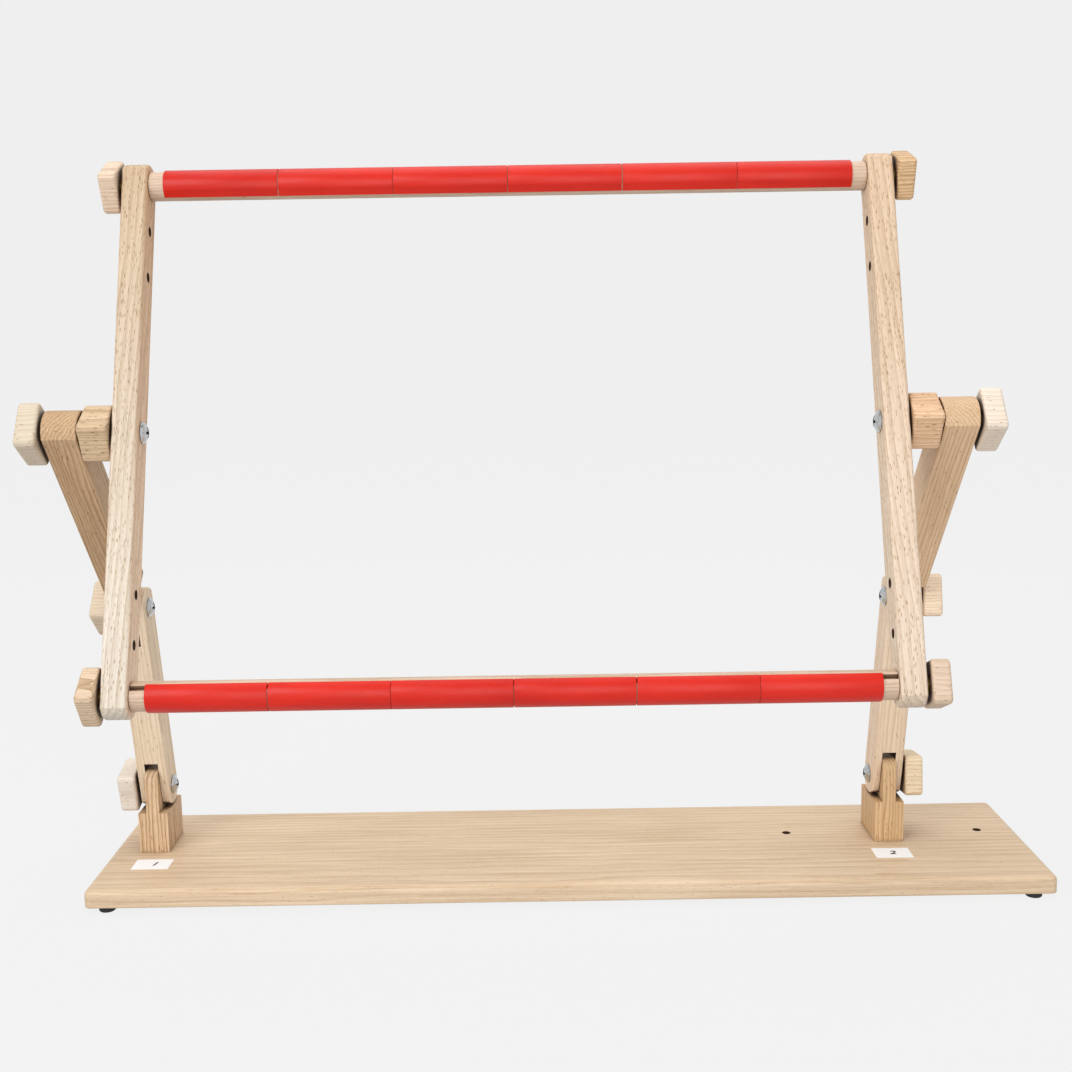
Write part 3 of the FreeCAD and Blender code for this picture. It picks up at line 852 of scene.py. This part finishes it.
@dataclass
class Arms:
    """The two folding arms on each side, with their bolts and washers."""

    lower_lean: float = -14.7
    upper_lean: float = -42.4

    def build(self) -> None:
        """Dresses both sides, each cut from its own stick of beech."""
        sticks = (
            ("left_lower_arm", "#DFCAAF", 0.85, self.lower_lean, 4.0, 0.25, (70.0, -44.0, 5.0)),
            ("right_lower_arm", "#E2CAB0", 0.95, self.lower_lean, 3.5, 0.25, (-66.0, 35.0, 55.0)),
            ("left_upper_arm", "#BA9B78", 1.9, self.upper_lean, 3.0, 0.4, (48.0, 52.0, 31.0)),
            ("right_upper_arm", "#D4B491", 1.3, self.upper_lean, 2.8, 0.25, (-38.0, 64.0, 73.0)),
        )
        for node, tone, depth, lean, ring, flecks, pith in sticks:
            wood = Beech(
                f"beech_{node}",
                tone=tone,
                contrast=depth,
                lean=lean,
                ring_mm=ring,
                fleck_mm=(0.7, 4.6),
                fleck_share=flecks,
                end_shade=0.16,
                # The arms get darker, further-reaching painted shade in their joints and slots.
                gap_shade=(0.07, 0.035, 0.02),
                gap_shade_mm=16.0,
                pith=pith,
                forks=self.forks(node),
            )
            dress(wood, node)
        for side in ("left", "right"):
            dress(ZINC, f"{side}_base_bolt", f"{side}_elbow_bolt", f"{side}_arm_washers")

    def forks(self, node: str) -> tuple[Fork, ...]:
        """Returns the forks at both ends of a lower arm, and none for an upper arm.

        Args:
            node: The arm.
        """
        side, level, _ = node.split("_")
        if level == "upper":
            return ()
        low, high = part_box(node)
        middle = (low.x + high.x) / 2
        pivots = []
        for bolt in ("base", "elbow"):
            near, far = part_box(f"{side}_{bolt}_bolt")
            pivots.append(Vector((middle, (near.y + far.y) / 2, (near.z + far.z) / 2)))
        upward = (pivots[1] - pivots[0]).normalized()
        return (Fork(tuple(pivots[0]), tuple(upward)), Fork(tuple(pivots[1]), tuple(-upward)))


@dataclass
class RollerFrame:
    """The side bars, their spacer blocks, shoulder bolts and washers."""

    lean: float = 19.45

    def build(self) -> None:
        """Dresses the frame."""
        # Each bar: side, tone, tone painted darker at the top as shade, grain slant, painted light tint on
        # the side faces, pith.
        bars = (
            ("left", "#D2C8BA", "#BDA486", -3.0, (1.2, 1.0, 0.84), (33.0, 71.0, 0.0)),
            ("right", "#D3C0AC", "#CFB498", 4.0, (1.13, 1.14, 1.11), (-52.0, 49.0, 61.0)),
        )
        for side, tone, top_shade_tone, slant, side_light_tint, pith in bars:
            node = f"{side}_side_bar"
            wood = Beech(
                f"beech_{node}",
                tone=tone,
                top_shade_tone=top_shade_tone,
                contrast=1.1,
                lean=self.lean,
                fleck_mm=(0.5, 3.8),
                fleck_share=0.8,
                fleck_strength=1.0,
                slant=slant,
                side_light_tint=side_light_tint,
                bores=mounts_named(f"{side}_bar_spare_hole"),
                pith=pith,
            )
            dress(wood, node)
        blocks = (
            ("left_spacer_block", "#C5AC8C", (28.0, 45.0, 17.0)),
            ("right_spacer_block", "#D6B28F", (-31.0, 36.0, 44.0)),
        )
        for node, tone, pith in blocks:
            wood = Beech(
                f"beech_{node}",
                tone=tone,
                contrast=1.4,
                run=Run.ACROSS,
                ring_mm=3.4,
                fleck_mm=(0.9, 3.4),
                fleck_share=0.5,
                fleck_strength=1.0,
                pith=pith,
            )
            dress(wood, node)
        dress(ZINC, "left_shoulder_bolt", "right_shoulder_bolt", "frame_washers")


@dataclass
class Knobs:
    """The ten square clamping knobs with their brass inserts."""

    brass: Metal = Metal("brass_inserts_turned", "#C8A253", "#A98442", 0.3, (0.4, 1.6, 1.6))

    def build(self) -> None:
        """Dresses every knob, each cut from its own square stick, and its insert."""
        knobs = (
            ("left_shoulder_knob", "#CBBDA8", 0.6, (22.0, 61.0, 3.0)),
            ("right_shoulder_knob", "#DED0C0", 0.6, (30.0, 33.0, 9.0)),
            ("left_elbow_knob", "#D2C0A8", 0.6, (-24.0, 50.0, 14.0)),
            ("right_elbow_knob", "#E6CFB4", 0.8, (44.0, -29.0, 27.0)),
            ("left_base_knob", "#DED2C4", 0.45, (37.0, 40.0, 35.0)),
            ("right_base_knob", "#DEC8A8", 0.8, (-33.0, 47.0, 41.0)),
            ("top_left_roller_knob", "#D5BEA7", 0.9, (29.0, -41.0, 50.0)),
            ("top_right_roller_knob", "#C9A77F", 1.9, (41.0, 26.0, 57.0)),
            ("bottom_left_roller_knob", "#C9B196", 1.5, (-27.0, -45.0, 64.0)),
            ("bottom_right_roller_knob", "#CDB59E", 0.7, (35.0, 51.0, 71.0)),
        )
        for name, tone, contrast, pith in knobs:
            wood = Beech(
                f"beech_{name}",
                tone=tone,
                contrast=contrast,
                run=Run.ACROSS,
                ring_mm=3.0,
                ring_share=0.7,
                fleck_mm=(0.7, 2.8),
                fleck_share=0.35,
                fleck_strength=0.7,
                end_shade=0.15,
                pith=pith,
                roughness=0.52,
            )
            dress(wood, name)
            dress(self.brass, f"{name}_insert")


@dataclass
class ClipRow:
    """One roller with its studs and its row of C-shaped fabric clips."""

    level: str
    lip: float
    tone: str
    wrinkle: float
    wrap: float = 240.0
    wall_mm: float = 1.3
    flat_span: float = 34.0
    end_round_mm: float = 0.35
    play_mm: float = 0.02  # between clip and roller, so that their faces never coincide
    seams_mm: tuple[float, ...] = (0.45, 0.0, 0.2, 0.5, 0.05, 0.0)
    steps: int = 72

    def build(self) -> None:
        """Dresses the roller and makes its clips."""
        dress(
            Beech(
                f"beech_{self.level}_roller",
                tone=self.tone,
                run=Run.ACROSS,
                ring_mm=3.0,
                fleck_mm=(0.7, 3.0),
                fleck_share=0.3,
                fleck_strength=0.5,
                # Only faint painted shade in the roller's gaps.
                gap_shade=(0.42, 0.31, 0.22),
                pith=(19.0, 24.0, 0.0),
            ),
            f"{self.level}_roller",
        )
        dress(ZINC, f"{self.level}_roller_studs")
        plastic = SoftPvc(f"pvc_clips_{self.level}", wrinkle=self.wrinkle)
        for number in range(1, 7):
            node = f"{self.level}_clip_{number}"
            piece = self.clip(node, self.seams_mm[number - 1])
            piece.data.materials.append(plastic.material())
            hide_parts(node)
            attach(piece, f"{self.level}_roller")
            LOG.info("%s: %s", piece.name, plastic.name)

    def outline(self, shrink: float) -> list[tuple[float, float]]:
        """Returns the clip's section as radius and turn.

        Args:
            shrink: How far the outside is drawn in, in metres.

        Returns:
            Radius in metres and turn in radians, round the section.
        """
        low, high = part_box(f"{self.level}_roller")
        inner = (high.z - low.z) / 2
        outer = inner + self.wall_mm * MM
        start = math.radians(self.lip)
        sweep = math.radians(self.wrap)
        flat = math.radians(self.flat_span)
        bead = (self.wall_mm / 2 * MM) / outer
        section: list[tuple[float, float]] = []
        for k in range(self.steps + 1):
            turn = start - bead - (sweep - 2 * bead) * k / self.steps
            radius = outer
            from_end = turn - (start - sweep)
            if from_end < flat:
                radius = outer * math.cos(flat / 2) / math.cos(from_end - flat / 2)
            section.append((radius - shrink, turn))
        middle_end = (section[-1][0] + inner) / 2
        section.append((middle_end, start - sweep))
        section.append((inner + self.play_mm * MM, start - sweep + bead))
        for k in range(1, self.steps):
            turn = start - sweep + bead + (sweep - 2 * bead) * k / self.steps
            section.append((inner + self.play_mm * MM, turn))
        section.append((inner + self.play_mm * MM, start - bead))
        section.append(((outer - shrink + inner) / 2, start))
        return section

    def clip(self, node: str, seam_mm: float) -> bpy.types.Object:
        """Makes one clip over its solid's place.

        Args:
            node: The clip's solid.
            seam_mm: How much the clip is cut short at its right end.

        Returns:
            The clip.
        """
        low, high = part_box(node)
        right = high.x - seam_mm * MM
        roller_low, roller_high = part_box(f"{self.level}_roller")
        y = (roller_low.y + roller_high.y) / 2
        z = (roller_low.z + roller_high.z) / 2
        edge = self.end_round_mm * MM
        stations = [
            (low.x, edge),
            (low.x + edge * 0.3, edge * 0.3),
            (low.x + edge, 0.0),
            ((low.x + right) / 2, 0.0),
            (right - edge, 0.0),
            (right - edge * 0.3, edge * 0.3),
            (right, edge),
        ]
        rings = []
        for x, shrink in stations:
            ring = [
                Vector((x, y - radius * math.cos(turn), z + radius * math.sin(turn)))
                for radius, turn in self.outline(shrink)
            ]
            rings.append(ring)
        return loft(f"{node}_skin", rings)


# ---------------------------------------------------------------- studio


@dataclass
class Studio:
    """A round light table, soft lamps and the camera."""

    floor_radius: float = 3.4
    bowl_radius: float = 1.6
    bowl_height: float = 4.2
    bowl_steps: int = 12
    around: int = 96
    # Each lamp's name, place in metres, side in metres and power in watts.
    lamps: tuple[tuple[str, Triple, float, float], ...] = (
        ("key_lamp", (-1.75, -2.05, 1.75), 1.5, 37.0),
        ("front_lamp", (0.35, -2.9, 0.95), 1.9, 31.0),
        ("top_lamp", (0.0, 0.25, 2.5), 2.4, 29.0),
    )
    lamp_aim: Triple = (0.0, 0.05, 0.35)
    sky: str = "#FFFFFF"
    sky_strength: float = 0.58
    camera_place: Triple = (-0.02818, -1.30297, 0.56045)
    camera_down: float = 8.6566  # degrees below level
    camera_roll: float = -0.8979
    sensor_mm: float = 36.0
    lens_mm: float = 47.38
    camera_reach: float = 50.0
    paper: LitPaper = LitPaper("white_paper_backlit")

    def build(self) -> None:
        """Builds the stage, the lamps, the sky and the camera."""
        self.bowl()
        for name, place, size, power in self.lamps:
            self.lamp(name, place, size, power)
        world = bpy.data.worlds.new("soft_room")
        world.use_nodes = True
        background = world.node_tree.nodes["Background"]
        background.inputs["Color"].default_value = linear(self.sky)
        background.inputs["Strength"].default_value = self.sky_strength
        bpy.context.scene.world = world
        self.camera()
        bpy.context.scene.view_settings.view_transform = "Standard"

    def bowl(self) -> None:
        """Makes a floor that curves up into a wall all round."""
        profile = [(0.0, 0.0), (self.floor_radius, 0.0)]
        for k in range(1, self.bowl_steps + 1):
            turn = math.radians(90 * k / self.bowl_steps)
            profile.append(
                (
                    self.floor_radius + self.bowl_radius * math.sin(turn),
                    self.bowl_radius * (1 - math.cos(turn)),
                )
            )
        profile.append((self.floor_radius + self.bowl_radius, self.bowl_height))
        around = self.around
        points = [Vector((0, 0, 0))]
        faces: list[list[int]] = []
        for radius, height in profile[1:]:
            for i in range(around):
                turn = 2 * math.pi * i / around
                points.append(Vector((radius * math.cos(turn), radius * math.sin(turn), height)))
        for i in range(around):
            faces.append([0, 1 + i, 1 + (i + 1) % around])
        for ring in range(len(profile) - 2):
            base = 1 + ring * around
            for i in range(around):
                j = (i + 1) % around
                faces.append([base + i, base + around + i, base + around + j, base + j])
        bowl = mesh_piece("light_table", points, faces)
        bowl.data.materials.append(self.paper.material())
        bowl.visible_diffuse = False
        bowl.visible_shadow = False
        LOG.info("light_table: %s", self.paper.name)

    def lamp(self, name: str, place: Triple, size: float, power: float) -> None:
        """Adds a square soft lamp aimed at the stand.

        Args:
            name: The lamp's name.
            place: Its position in metres.
            size: Its side in metres.
            power: Its power in watts.
        """
        data = bpy.data.lights.new(name, "AREA")
        data.shape = "SQUARE"
        data.size = size
        data.energy = power
        lamp = bpy.data.objects.new(name, data)
        lamp.location = place
        lamp.rotation_euler = (Vector(self.lamp_aim) - Vector(place)).to_track_quat("-Z", "Y").to_euler()
        bpy.context.scene.collection.objects.link(lamp)

    def camera(self) -> None:
        """Adds the camera: eye level, in front, with a slight tilt down and roll."""
        data = bpy.data.cameras.new("camera")
        data.sensor_width = self.sensor_mm
        data.lens = self.lens_mm
        data.clip_end = self.camera_reach
        camera = bpy.data.objects.new("camera", data)
        tilt = Matrix.Rotation(math.radians(90 - self.camera_down), 4, "X")
        roll = Matrix.Rotation(math.radians(self.camera_roll), 4, "Z")
        camera.matrix_world = Matrix.Translation(self.camera_place) @ tilt @ roll
        bpy.context.scene.collection.objects.link(camera)
        bpy.context.scene.camera = camera


def main() -> None:
    """Builds every sub-assembly in order."""
    logging.basicConfig(level=logging.INFO, format="%(name)s %(message)s")
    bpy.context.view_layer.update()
    BaseBoard().build()
    Arms().build()
    RollerFrame().build()
    Knobs().build()
    ClipRow("top", 189.0, "#C8AF99", 0.12).build()
    ClipRow("bottom", 62.0, "#C8AF99", 0.3).build()
    Studio().build()


if __name__ == "__main__":
    main()
